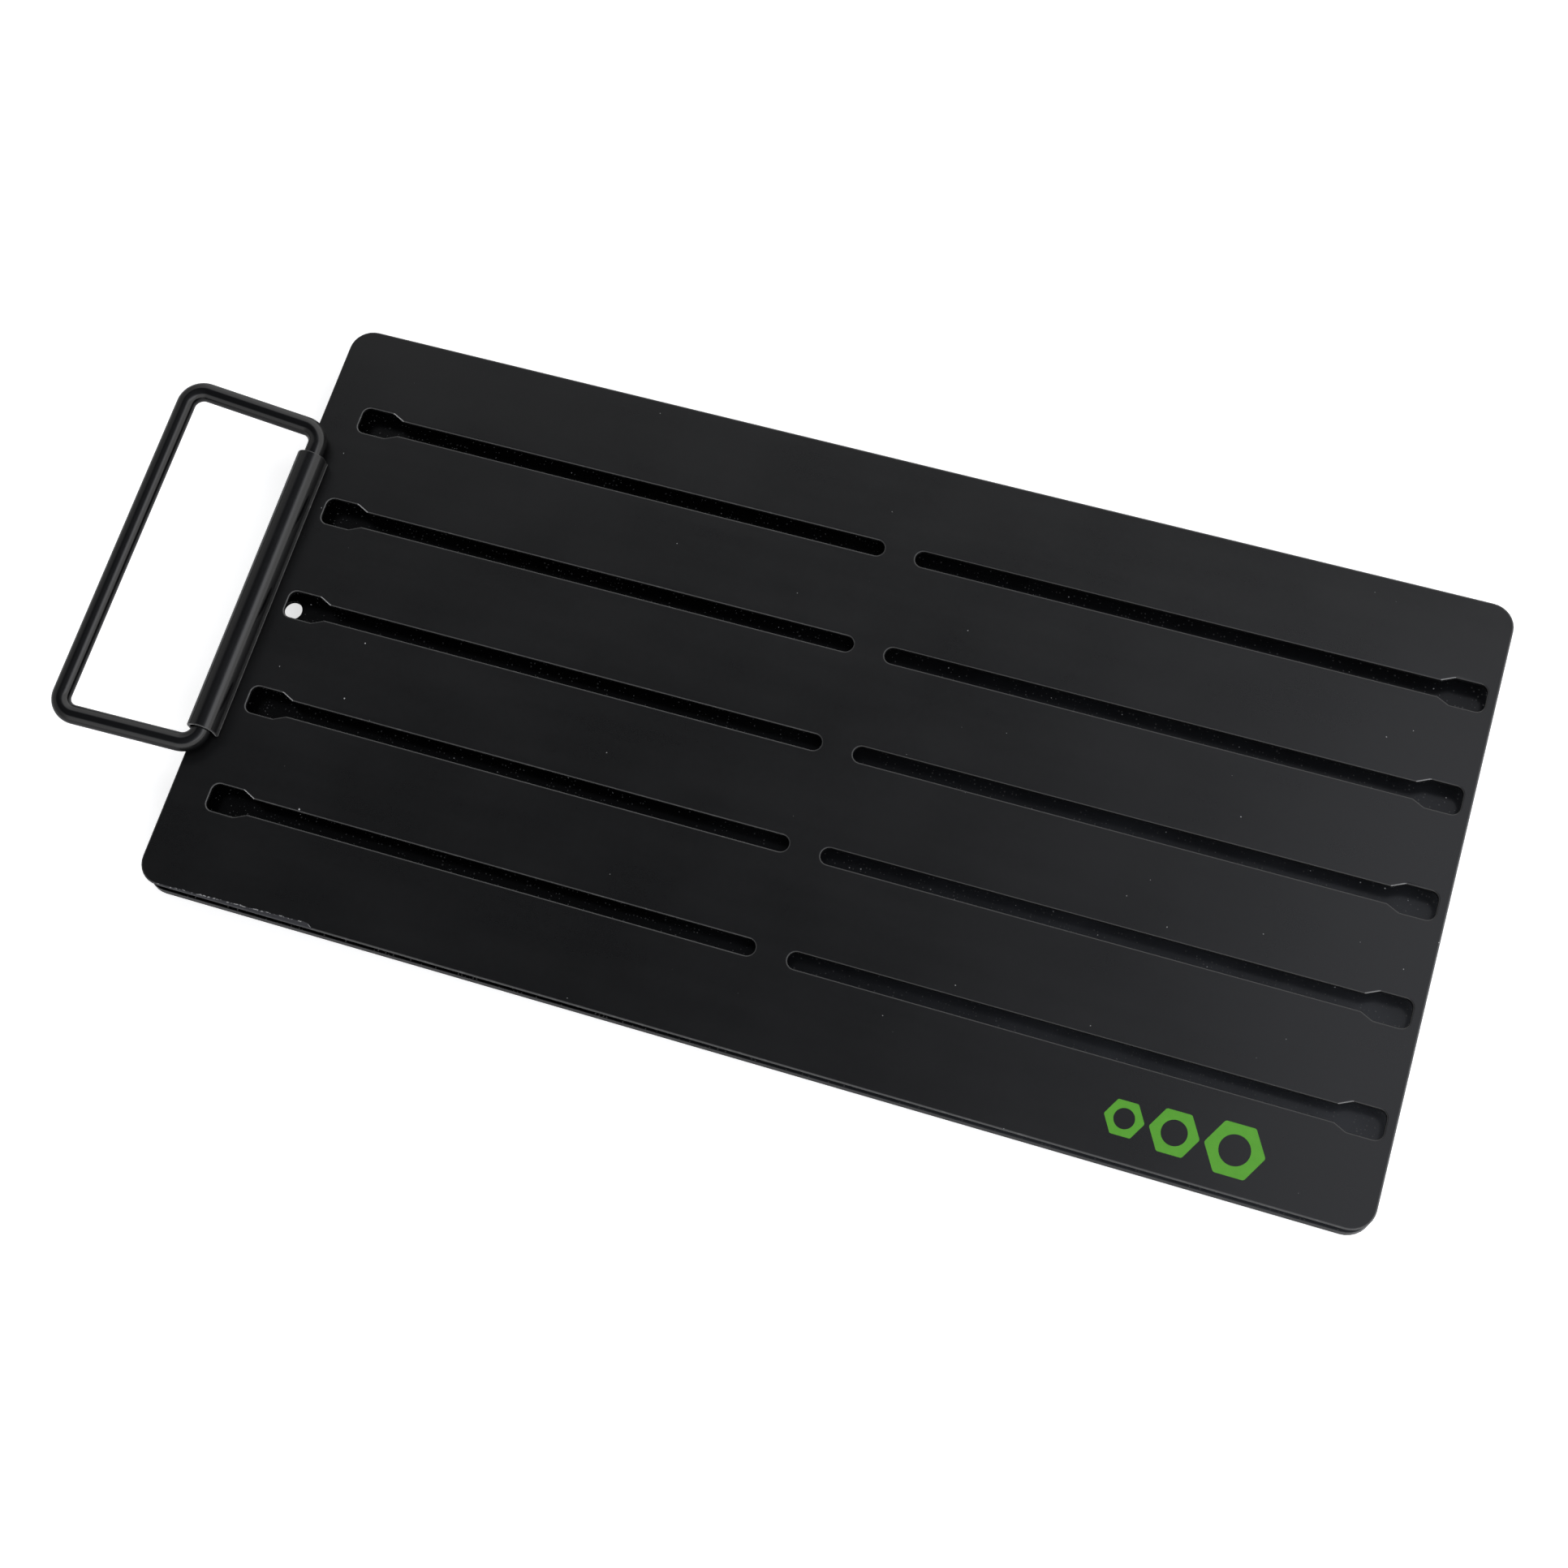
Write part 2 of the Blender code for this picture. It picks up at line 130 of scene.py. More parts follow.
# Radius of the dish's mouth and bottom, as a share of the foot's
FOOT_DISH = (0.5, 0.42)
AXIS_RADIUS = 0.0001
GAP = 0.0003

# Height above the head's face, arm and half width at the cross recess's mouth and bottom
CROSS_SECTIONS = ((-0.0002, 0.0017, 0.0004), (0.0010, 0.0009, 0.0002))

# Printed mark, from the deck's right and front edges
MARK_FROM_RIGHT = 0.0594
MARK_FROM_FRONT = 0.0136
MARK_SIZES = (0.0125, 0.0155, 0.0186)
MARK_SPACE = 0.0013
# Hexagon's corner radius and its hole's radius, as a share of its size
MARK_CORNER = 0.06
MARK_HOLE = 0.26
# Top of the ink above the deck, and its underside as a share of that
INK_THICKNESS = 0.00003
INK_LIFT = 0.2

# Camera, from the deck's left edge, middle and top
CAMERA_PLACE = Vector((0.3240, -0.2400, 0.7227))
CAMERA_TARGET = Vector((0.1922, -0.0162, 0.0))
CAMERA_ROLL = math.radians(-13.943)
CAMERA_LENS = 55.53

# Light, as a share of white, and the directions between which it fades
WALL_LEFT = 0.45
WALL_RIGHT = 1.45
WALL_FADE = (-0.7, 0.0)
CEILING_LEFT = 0.09
CEILING_RIGHT = 0.20
CEILING_FADE = (-0.42, 0.2)
CEILING_STARTS = 0.58
CEILING_FULL = 0.81
BACK_WALL_RISE = 0.31
CEILING_TINT = (0.94, 0.98, 1.08, 1)
FLOOR_HALF_SIZE = 4
FLOOR_TONE = 0.72
FLOOR_GLOW = 0.7
SOFTBOX_DEPTH = 0.85
SOFTBOX_MIDDLE = -0.10
SOFTBOX_HEIGHT = 0.55
# Left end, right end and radiance of each
SOFTBOXES = {"fill_softbox": (0.05, 0.20, 0.22), "key_softbox": (0.20, 1.0, 0.73)}
SOFTBOX_TINT = (0.96, 0.98, 1.06)

# Wear, painted highlights and dust on the coating. Wear runs from 0 to 1, and its pale tone is
# partly worn coating and partly a painted highlight on the roundings. Above 1 the tone turns paler
# still: a painted highlight, with coating rubbed through at the bracket's cut ends
EDGE_WEAR_AND_HIGHLIGHT_TONE = 0.065
TOE_WEAR_AND_HIGHLIGHT = 1.0
CUT_FACE_WEAR_AND_HIGHLIGHT = 1.5
# All round the slot, and along the back of its taper. Both are wear and painted highlight, and the
# right slots take less so that their painted highlight is dimmer
LEFT_SLOT_WEAR_AND_HIGHLIGHT = (0.85, 2.0)
RIGHT_SLOT_WEAR_AND_HIGHLIGHT = (0.4, 1.52)
FULL_RUB_AND_HIGHLIGHT = 2.0
RUB_AND_HIGHLIGHT_TONE = 0.5
CHIPPED_TONE = 0.15
CHIP_SCALE = 260
CHIP_RANGE = (0.52, 0.72)
CHIP_WEAR = (0.2, 1.0)
CHIP_STRENGTH = 0.6
POLISH = 0.4
FILM_START = 0.005
FILM_END = 0.063
FILM_FADE = 0.006
FILM_DEPTHS = (0.0007, 0.0018)
FILM_RAGGED = 0.0012
FILM_SLANT = 1.6
FILM_TONE = 0.035
FILM_DULLNESS = 0.12
FILM_SCALE = 700
FRINGE_WIDTH = 0.0005
FRINGE_TONE = 0.7
FRINGE_SCALE = 1100
FRINGE_BREAKS = (0.47, 0.55)
# Pale film on the channel floor: dust in patches, laid lighter towards the right end and the front
# rows as painted light
LIT_HAZE_ALONG = (-0.04, 0.14)
LIT_HAZE_ACROSS = (0.14, -0.09)
HAZE_TONE = (0.16, 0.17, 0.19, 1.0)
HAZE_SCALE = 70
# Range of the noise, and the share of the haze at its two ends
HAZE_UNEVEN = (0.25, 0.75, 0.7, 1.0)
# Grains per metre, share of cells with a grain, largest radius and tone of each layer of dust
DECK_DUST = ((45, 0.06, 0.0003, 0.45), (140, 0.03, 0.00018, 0.3))
CHANNEL_DUST = ((260, 0.12, 0.00022, 0.5), (800, 0.4, 0.00028, 0.07))
# Height of the normal on a face that starts to hold dust, and on one that holds all of it
DUST_FACING = (0.5, 0.9)

# Mottling of the coating, as (scale, share), and the spread of its tone and roughness
BROAD_MOTTLE = (28, 0.7)
FINE_MOTTLE = (600, 0.3)
STREAKS = (60, 0.5)
STREAK_STRETCH = (0.25, 2.5, 1)
TONE_SPREAD = (0.85, 1.2)
GLOSS_SPREAD = (-0.03, 0.04)
GLOSS_NOISE = (0.4, 1.1)
PEEL_SCALE = 1400

# Range of noise over which a tone or roughness wanders
MIDDLE_NOISE = (0.3, 0.7)

# Fineness of the meshes
ARC_STEPS = 8
EDGE_STEPS = 5
FOLD_STEPS = 6
CURL_STEPS = 32
BEND_STEPS = 14
ROUND_STEPS = 32
FOOT_STEPS = 48

# Limits that keep arcs apart, and the scale that flat faces are divided at
SMALLEST_RADIUS = 0.00002
ALMOST_FULL = 0.999
MILLIMETRES = 1000


# ---------------------------------------------------------------- outlines and profiles


def corner_arc(before, corner, after, radius, steps):
    """Points of the arc that rounds one corner of a path."""
    back = (before - corner).normalized()
    ahead = (after - corner).normalized()
    half_angle = back.angle(ahead) / 2
    centre = corner + (back + ahead).normalized() * radius / math.sin(half_angle)
    reach = radius / math.tan(half_angle)
    first = (corner + back * reach - centre).normalized()
    last = (corner + ahead * reach - centre).normalized()
    return [centre + first.slerp(last, i / steps) * radius for i in range(steps + 1)]


def grown(corners, amount):
    """A closed anticlockwise outline with its sides moved outwards. Corners are (x, y, radius)."""
    result = []
    count = len(corners)
    for index, (x, y, radius) in enumerate(corners):
        here = Vector((x, y))
        came = (here - Vector(corners[index - 1][:2])).normalized()
        goes = (Vector(corners[(index + 1) % count][:2]) - here).normalized()
        normals = Vector((came.y + goes.y, -came.x - goes.x))
        moved = here + normals * amount / (1 + came.dot(goes))
        turns_left = came.x * goes.y > came.y * goes.x
        if radius:
            radius = max(radius + (amount if turns_left else -amount), SMALLEST_RADIUS)
        result.append((moved.x, moved.y, radius))
    return result


def rounded(corners):
    """Points of a closed outline, with an arc in place of each corner that has a radius."""
    places = [Vector((x, y, 0)) for x, y, _ in corners]
    points = []
    for index, (_, _, radius) in enumerate(corners):
        if radius:
            after = places[(index + 1) % len(places)]
            points += corner_arc(places[index - 1], places[index], after, radius, ARC_STEPS)
        else:
            points.append(places[index])
    return [(point.x, point.y) for point in points]


def beside(end, other):
    """A point close to the end of an arc, towards other, where the straight is long enough."""
    room = (other - end).length
    if room < LEAST_ROOM:
        return []
    point = end.lerp(other, min(LAND / room, 0.5))
    return [(point.x, point.y, 0.0)]


def profile(corners):
    """An open line through (a, b, radius) corners, as (a, b, edge) points.

    edge runs from 0 on the straights to 1 in the middle of each arc, or to a corner's fourth
    number. A point close beside each arc keeps the shading of the straights flat.
    """
    places = [Vector((a, b, 0)) for a, b, *_ in corners]
    points = []
    for index, (a, b, radius, *wear) in enumerate(corners):
        most = wear[0] if wear else 1.0
        if not radius:
            points.append((a, b, 0.0))
            continue
        before = places[index - 1]
        after = places[index + 1]
        arc = corner_arc(before, places[index], after, radius, EDGE_STEPS)
        points += beside(arc[0], before)
        for step, point in enumerate(arc):
            edge = most * math.sin(math.pi * step / EDGE_STEPS)
            points.append((point.x, point.y, edge))
        points += beside(arc[-1], after)
    return points


def rectangle(low_x, high_x, low_y, high_y, radius):
    places = ((high_x, high_y), (low_x, high_y), (low_x, low_y), (high_x, low_y))
    return [(x, y, radius) for x, y in places]


def circle(x, y, radius):
    return rectangle(x - radius, x + radius, y - radius, y + radius, radius * ALMOST_FULL)


def keyhole(outer_x, row_y, direction):
    """Outline of one slot, from its wide end at outer_x. direction is 1 along +X, -1 back."""
    wide = WIDE_WIDTH / 2
    narrow = NARROW_WIDTH / 2
    taper_end = WIDE_LENGTH + TAPER_LENGTH
    end = SLOT_LENGTH - SLOT_FLARE
    half = [
        (SLOT_FLARE, wide, WIDE_CORNER_RADIUS),
        (WIDE_LENGTH, wide, TAPER_RADIUS),
        (taper_end, narrow, TAPER_RADIUS),
        (end, narrow, narrow * ALMOST_FULL),
    ]
    points = [(x, -y, radius) for x, y, radius in half] + half[::-1]
    if direction < 0:
        points.reverse()
    return [(outer_x + direction * x, row_y + y, radius) for x, y, radius in points]


# ---------------------------------------------------------------- mesh pieces


class Mesh:
    """A mesh in the making, with an edge value on each point for the wear of its material and the
    painted highlight along its roundings.
    """

    def __init__(self):
        self.work = bmesh.new()
        self.edge = self.work.verts.layers.float.new("edge")

    def ring(self, points, edge=0.0):
        verts = [self.work.verts.new(point) for point in points]
        for vert in verts:
            vert[self.edge] = edge
        return verts

    def bridge(self, rings):
        """Faces that join each ring to the next."""
        for first, second in zip(rings, rings[1:]):
            for index in range(len(first)):
                after = (index + 1) % len(first)
                self.work.faces.new((first[index], first[after], second[after], second[index]))

    def cap(self, *rings):
        """One flat face inside each ring."""
        for ring in rings:
            self.work.faces.new(ring)

    def stack(self, corners, line, place):
        """Rings of one outline along a profile of (growth, distance, edge), joined in turn."""
        rings = []
        for growth, distance, edge in line:
            outline = rounded(grown(corners, growth))
            rings.append(self.ring([place(x, y, distance) for x, y in outline], edge))
        self.bridge(rings)
        return rings

    def fill(self, *rings):
        """A flat face inside the first ring, with the others as its holes."""
        loops = [[vert.co * MILLIMETRES for vert in ring] for ring in rings]
        verts = [vert for ring in rings for vert in ring]
        for triangle in tessellate_polygon(loops):
            self.work.faces.new([verts[index] for index in triangle])

    def finish(self, name):
        """The smooth mesh, with its faces turned outwards."""
        bmesh.ops.recalc_face_normals(self.work, faces=self.work.faces)
        mesh = bpy.data.meshes.new(name)
        self.work.to_mesh(mesh)
        self.work.free()
        mesh.shade_smooth()
        return mesh


def upright(x, y, z):
    return (x, y, z)


def lying(x, z, y):
    return (x, y, z)


def new_piece(name, mesh, material, body, slot, *nodes):
    obj = bpy.data.objects.new(name, mesh)
    bpy.context.scene.collection.objects.link(obj)
    mesh.materials.clear()
    mesh.materials.append(material)
    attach(obj, body)
    if nodes:
        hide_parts(*nodes)
    return obj


def pressed_pan(corners, top, rim, openings):
    """The mesh of a pressed sheet pan, open below. rim is its section.

    openings are (outline, radius of the top edge, wear and painted highlight of the top edge).
    """
    under = top - SHEET
    made = Mesh()
    rings = made.stack(corners, profile(rim), upright)
    tops = [rings[0]]
    unders = [rings[-1]]
    for outline, edge_radius, wear in openings:
        hole = [
            (edge_radius + LAND, top, 0),
            (0, top, edge_radius, wear),
            (0, under, CUT_EDGE),
            (CUT_EDGE + LAND, under, 0),
        ]
        rings = made.stack(outline, profile(hole), upright)
        tops.append(rings[0])
        unders.append(rings[-1])
    made.fill(*tops)
    made.fill(*unders)
    return made


def rim_section(top, bottom, top_corner, bottom_corner, tuck):
    """Section of a pan's turned-down rim, from its top face to its underside.

    The two corners are (radius, wear), where wear also sets a painted highlight along the
    rounding, and tuck is how far the rim leans in at its bottom.
    """
    inner = -SHEET - INNER_FILLET - LAND
    return [
        (-top_corner[0] - LAND, top, 0),
        (0, top, *top_corner),
        (-tuck, bottom, *bottom_corner),
        (-tuck - SHEET, bottom, CUT_EDGE, 0),
        (-SHEET, top - SHEET, INNER_FILLET, 0),
        (inner, top - SHEET, 0),
    ]


def deck_corners(notch_half):
    """The deck's outline, with two close points at each end of the notch in its left edge."""
    corners = rectangle(DECK_LOW.x, DECK_HIGH.x, DECK_LOW.y, DECK_HIGH.y, CORNER_RADIUS)
    ends = (notch_half + NOTCH_SIDE, notch_half - NOTCH_SIDE)
    notch_points = [(DECK_LOW.x, y, 0) for y in (*ends, -ends[1], -ends[0])]
    return corners[:2] + notch_points + corners[2:]


def slot_places():
    """The x of each slot's wide end, the y of its row, its direction, and the wear and painted
    highlight of its edge.

    The wear and painted highlight is a pair: all round the slot, and along the back of its taper.
    """
    rows = [(index - (ROW_COUNT - 1) / 2) * ROW_PITCH for index in range(ROW_COUNT)]
    left = DECK_LOW.x + SLOT_MARGIN
    right = left + 2 * SLOT_LENGTH + SLOT_BRIDGE
    left_slots = [(left, y, 1, LEFT_SLOT_WEAR_AND_HIGHLIGHT) for y in rows]
    return left_slots + [(right, y, -1, RIGHT_SLOT_WEAR_AND_HIGHLIGHT) for y in rows]


def cut_notch(pan, notch_half):
    """Sets the pan's left edge back between -notch_half and notch_half, for the bracket's leg."""
    notch_x = DECK_LOW.x + NOTCH_DEPTH
    for vert in pan.work.verts:
        if abs(vert.co.y) < notch_half and vert.co.x < notch_x:
            vert.co.x = notch_x


def paint_taper_highlights(pan):
    """Raises the edge value along the back edge of each slot's taper, so that it takes a pale
    painted highlight.
    """
    for outer_x, row_y, direction, (all_round, taper_highlight) in slot_places():
        for vert in pan.work.verts:
            along = (vert.co.x - outer_x) * direction
            across = vert.co.y - row_y
            in_taper = WIDE_LENGTH - LAND < along < WIDE_LENGTH + TAPER_LENGTH + LAND
            if in_taper and NARROW_WIDTH / 2 - LAND < across < WIDE_WIDTH / 2 + LAND:
                vert[pan.edge] *= taper_highlight / all_round


def node_centre(node):
    low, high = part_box(node)
    return (low + high) / 2


def numbered(prefix):
    return sorted(name for name in frame["nodes"] if name.startswith(prefix))


def make_pans(deck_material, base_material):
    _, bracket_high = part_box("handle_bracket")
    notch_half = bracket_high.y + GAP
    rim = rim_section(DECK_TOP, DECK_LOW.z, (DECK_FILLET, 1), (CUT_EDGE, 0), RIM_TUCK)
    slots = []
    for outer_x, row_y, direction, (all_round, _) in slot_places():
        slots.append((keyhole(outer_x, row_y, direction), SLOT_FILLET, all_round))
    deck = pressed_pan(deck_corners(notch_half), DECK_TOP, rim, slots)
    cut_notch(deck, notch_half)
    paint_taper_highlights(deck)
    deck_mesh = deck.finish("deck")
    new_piece("slotted_deck", deck_mesh, deck_material, "tray", "deck_paint", "top_plate")
    holes = [(circle(DECK_LOW.x + HANG_HOLE_INSET, 0, HANG_HOLE_RADIUS), CUT_EDGE, 1)]
    for node in numbered("spacer_screw") + numbered("bracket_screw"):
        centre = node_centre(node)
        holes.append((circle(centre.x, centre.y, SCREW_HOLE_RADIUS), CUT_EDGE, 1))
    corners = rectangle(BASE_LOW.x, BASE_HIGH.x, BASE_LOW.y, BASE_HIGH.y, CORNER_RADIUS)
    top_corner = (BASE_TOP_FILLET, 0)
    foot_corner = (BASE_FOOT_FILLET, 1)
    rim = rim_section(BASE_HIGH.z, BASE_LOW.z, top_corner, foot_corner, -BASE_FLARE)
    base = pressed_pan(corners, BASE_HIGH.z, rim, holes)
    base_mesh = base.finish("base")
    new_piece("base_pan", base_mesh, base_material, "tray", "base_paint", "base_plate")


def make_spacers(material):
    """Moulded bars with softened edges and a blind hole for each screw."""
    screws = [node_centre(node) for node in numbered("spacer_screw")]
    for node in numbered("spacer_bar"):
        low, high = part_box(node)
        made = Mesh()
        sides = [
            (-CUT_EDGE - LAND, low.z, 0),
            (0, low.z, CUT_EDGE),
            (0, high.z, CUT_EDGE),
            (-CUT_EDGE - LAND, high.z, 0),
        ]
        corners = rectangle(low.x, high.x, low.y, high.y, SPACER_CORNER_RADIUS)
        rings = made.stack(corners, profile(sides), upright)
        lower = [rings[0]]
        made.fill(rings[-1])
        for centre in screws:
            if low.y < centre.y < high.y:
                hole_top = high.z - SPACER_HOLE_TOP
                line = profile([(LAND * 2, low.z, 0), (0, low.z, LAND), (0, hole_top, 0)])
                rings = made.stack(circle(centre.x, centre.y, SCREW_HOLE_RADIUS), line, upright)
                lower.append(rings[0])
                made.fill(rings[-1])
        made.fill(*lower)
        new_piece(node + "_moulded", made.finish(node), material, "tray", "spacer_plastic", node)


def bracket_section():
    """The bracket's closed section in the XZ plane: tongue, leg, curl over the wire and toe."""
    half = BRACKET_SHEET / 2
    radius = BRACKET_OUTER_RADIUS - half
    low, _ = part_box("handle_bracket")
    leg_x = HINGE.x - radius
    tongue_z = low.z + half
    tongue_end = Vector((DECK_LOW.x + BRACKET_TONGUE, tongue_z, 0))
    corner = Vector((leg_x, tongue_z, 0))
    leg_top = Vector((leg_x, HINGE.z, 0))
    fold = corner_arc(tongue_end, corner, leg_top, BRACKET_FOLD_RADIUS, FOLD_STEPS)
    curl = []
    for step in range(CURL_STEPS + 1):
        angle = math.pi * (1 - step / CURL_STEPS)
        curl_x = HINGE.x + radius * math.cos(angle)
        curl_z = HINGE.z + radius * math.sin(angle)
        curl.append(Vector((curl_x, curl_z, 0)))
    toe_x = HINGE.x + radius
    toe = [Vector((toe_x, DECK_TOP + GAP + TOE, 0)), Vector((toe_x + TOE, DECK_TOP + GAP, 0))]
    line = [tongue_end] + fold + curl + toe
    above = []
    below = []
    for index, point in enumerate(line):
        tangent = line[min(index + 1, len(line) - 1)] - line[max(index - 1, 0)]
        side = Vector((-tangent.y, tangent.x, 0)).normalized() * half
        at_end = index in (0, len(line) - 1)
        corner_radius = half * BRACKET_SHEET_ROUND if at_end else 0
        for edge_line, offset in ((above, side), (below, -side)):
            place = point + offset
            edge_line.append((place.x, place.y, corner_radius))
    return below + above[::-1]


def make_bracket(material):
    """Curled sheet, pale at its toe and on its two cut ends: worn coating there, and painted
    highlights.
    """
    low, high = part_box("handle_bracket")
    section = bracket_section()
    made = Mesh()
    ends = [
        (-BRACKET_END_INSET, low.y, 0),
        (0, low.y, BRACKET_END_ROUND),
        (0, high.y, BRACKET_END_ROUND),
        (-BRACKET_END_INSET, high.y, 0),
    ]
    rings = made.stack(section, profile(ends), lying)
    toe_x = HINGE.x + BRACKET_OUTER_RADIUS - CUT_EDGE / 2
    toe_top = DECK_TOP + GAP + TOE + BRACKET_SHEET / 2
    # Pale toe line: worn coating and a painted highlight along the sheet's cut edge
    for vert in made.work.verts:
        if vert.co.x > toe_x and vert.co.z < toe_top:
            vert[made.edge] = TOE_WEAR_AND_HIGHLIGHT
    # Pale cut ends: coating rubbed through, and a painted highlight
    for vert in rings[0] + rings[-1]:
        vert[made.edge] = CUT_FACE_WEAR_AND_HIGHLIGHT
    made.fill(rings[0])
    made.fill(rings[-1])
    mesh = made.finish("bracket")
    new_piece("hinge_bracket", mesh, material, "tray", "bracket_paint", "handle_bracket")


def make_handle(material):
    """Bent wire loop, with its ends meeting inside the bracket's curl."""
    low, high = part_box("wire_handle")
    far = Vector((low.x + WIRE_RADIUS, 0, high.z - WIRE_RADIUS)) - Vector((HINGE.x, 0, HINGE.z))
    reach = far.length
    outwards = far.normalized()
    shift = (high.y + low.y) / 2
    half_outer = (high.y - low.y) / 2 - WIRE_RADIUS
    corners = [
        (0, WIRE_END_GAP / 2),
        (0, HANDLE_HALF_INNER),
        (reach, half_outer),
        (reach, -half_outer),
        (0, -HANDLE_HALF_INNER),
        (0, -WIRE_END_GAP / 2),
    ]
    places = [Vector((x, y + shift, 0)) for x, y in corners]
    path = [places[0]]
    for before, corner, after in zip(places, places[1:], places[2:]):
        path += corner_arc(before, corner, after, HANDLE_BEND_RADIUS, BEND_STEPS)
    path.append(places[-1])
    normal = Vector((0, 0, 1))
    across = Vector((0, 1, 0))
    up = outwards.cross(across)
    to_frame = Matrix((outwards, across, up)).transposed()
    made = Mesh()
    rings = []
    for index, point in enumerate(path):
        tangent = (path[min(index + 1, len(path) - 1)] - path[max(index - 1, 0)]).normalized()
        side = tangent.cross(normal)
        ring = []
        for step in range(ROUND_STEPS):
            angle = 2 * math.pi * step / ROUND_STEPS
            spoke = side * math.cos(angle) + normal * math.sin(angle)
            ring.append(HINGE + to_frame @ (point + spoke * WIRE_RADIUS))
        rings.append(made.ring(ring))
    made.bridge(rings)
    made.cap(rings[0], rings[-1])
    new_piece("wire_loop", made.finish("wire"), material, "handle", "handle_paint", "wire_handle")


def lathe(line, steps=ROUND_STEPS):
    """A turned shape from (radius, height, edge) points, closed flat at both ends."""
    made = Mesh()
    rings = []
    for radius, height, edge in line:
        angles = [2 * math.pi * step / steps for step in range(steps)]
        points = [(radius * math.cos(a), radius * math.sin(a), height) for a in angles]
        rings.append(made.ring(points, edge))
    made.bridge(rings)
    made.cap(rings[0], rings[-1])
    return made


def screw_mesh(name, low, high, bearing):
    """A pan-head screw, head down, with its height 0 at the bearing face and a cross recess."""
    head_radius = (high.x - low.x) / 2
    head = low.z - bearing
    shank = high.z - bearing
    line = profile(
        [
            (AXIS_RADIUS, shank, 0),
            (SCREW_RADIUS, shank, SCREW_TIP_ROUND),
            (SCREW_RADIUS, 0, CUT_EDGE / 2),
            (head_radius, 0, CUT_EDGE / 2),
            (head_radius, head, -head * HEAD_ROUND),
            (AXIS_RADIUS, head, 0),
        ]
    )
    return cut_cross(lathe(line).finish(name), head)


def cross_outline(arm, half_width):
    corners = []
    for quarter in range(4):
        turn = Matrix.Rotation(math.radians(90 * quarter), 2)
        for place in ((arm, -half_width), (arm, half_width), (half_width, half_width)):
            corners.append(turn @ Vector(place))
    return corners


def cut_cross(mesh, head):
    """Cuts a tapered cross into the face at height head, and gives the new mesh."""
    cutter = Mesh()
    rings = []
    for height, arm, half_width in CROSS_SECTIONS:
        outline = cross_outline(arm, half_width)
        rings.append(cutter.ring([(x, y, head + height) for x, y in outline]))
    cutter.bridge(rings)
    cutter.cap(*rings)
    screw = bpy.data.objects.new("screw", mesh)
    cross = bpy.data.objects.new("cross", cutter.finish("cross"))
    for obj in (screw, cross):
        bpy.context.scene.collection.objects.link(obj)
    boolean = screw.modifiers.new("cross", "BOOLEAN")
    boolean.operation = "DIFFERENCE"
    boolean.solver = "EXACT"
    boolean.object = cross
    bpy.context.view_layer.update()
    graph = bpy.context.evaluated_depsgraph_get()
    result = bpy.data.meshes.new_from_object(screw.evaluated_get(graph))
    for obj in (screw, cross):
        bpy.data.objects.remove(obj, do_unlink=True)
    result.set_sharp_from_angle(angle=SHARP_ANGLE)
    return result


def make_screws(material):
    for prefix in ("spacer_screw", "bracket_screw"):
        nodes = numbered(prefix)
        low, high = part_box(nodes[0])
        bearing = BASE_HIGH.z - SHEET - GAP
        mesh = screw_mesh(prefix, low, high, bearing)
        for node in nodes:
            piece = new_piece(node + "_head", mesh, material, "tray", "screw_steel", node)
            centre = node_centre(node)
            piece.location = (centre.x, centre.y, bearing)


def make_feet(material):
    """Rubber pads with a rounded rim and a shallow dish in their treads."""
    nodes = numbered("rubber_foot")
    low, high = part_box(nodes[0])
    radius = (high.x - low.x) / 2
    height = high.z - low.z
    line = profile(
        [
            (AXIS_RADIUS, height, 0),
            (radius, height, FOOT_TOP_ROUND),
            (radius, 0, FOOT_TREAD_ROUND),
            (radius * FOOT_DISH[0], 0, FOOT_DISH_ROUND),
            (radius * FOOT_DISH[1], FOOT_DISH_DEPTH, FOOT_DISH_ROUND),
            (AXIS_RADIUS, FOOT_DISH_DEPTH, 0),
        ]
    )
    mesh = lathe(line, FOOT_STEPS).finish("foot")
    for node in nodes:
        centre = node_centre(node)
        piece = new_piece(node + "_pad", mesh, material, "tray", "foot_rubber", node)
        piece.location = (centre.x, centre.y, low.z)


def make_mark(material):
    """Printed row of three hexagon nuts of growing size."""
    made = Mesh()
    front = DECK_LOW.y + MARK_FROM_FRONT
    total = sum(MARK_SIZES) + MARK_SPACE * (len(MARK_SIZES) - 1)
    x = DECK_HIGH.x - MARK_FROM_RIGHT - total / 2
    line = [(0, DECK_TOP + INK_THICKNESS * INK_LIFT, 0), (0, DECK_TOP + INK_THICKNESS, 0)]
    for size in MARK_SIZES:
        centre_x = x + size / 2
        hexagon = []
        for step in range(6):
            angle = math.radians(60 * step)
            corner_x = centre_x + size / 2 * math.cos(angle)
            corner_y = front + size / 2 * math.sin(angle)
            hexagon.append((corner_x, corner_y, size * MARK_CORNER))
        outer = made.stack(hexagon, line, upright)
        inner = made.stack(circle(centre_x, front, size * MARK_HOLE), line, upright)
        made.fill(outer[0], inner[0])
        made.fill(outer[1], inner[1])
        x += size + MARK_SPACE
    mesh = made.finish("mark")
    mesh.shade_flat()
    new_piece("printed_mark", mesh, material, "tray", "deck_paint")


# ---------------------------------------------------------------- materials


